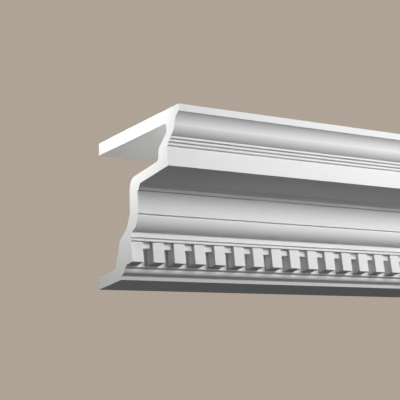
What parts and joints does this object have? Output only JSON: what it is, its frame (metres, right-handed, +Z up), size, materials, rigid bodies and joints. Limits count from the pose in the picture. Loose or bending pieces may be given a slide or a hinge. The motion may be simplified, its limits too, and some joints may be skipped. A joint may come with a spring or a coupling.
{
  "type": "facade cornice moulding",
  "caption": "Dentil cornice moulding for a facade: an open-backed cast shell with crown, deep soffit, plain frieze, dentil course and foot.",
  "frame": {"origin": "middle of the top plate's rear face, on the wall plane", "axes": "+X along the moulding, +Y into the wall, +Z up"},
  "size_m": [0.9948, 0.2145, 0.1898],
  "materials": {
    "primed_foam": "matt white primer over rigid cast polyurethane foam"
  },
  "bodies": {
    "root": {"dentil_cornice": "primed_foam"}
  },
  "joints": []
}
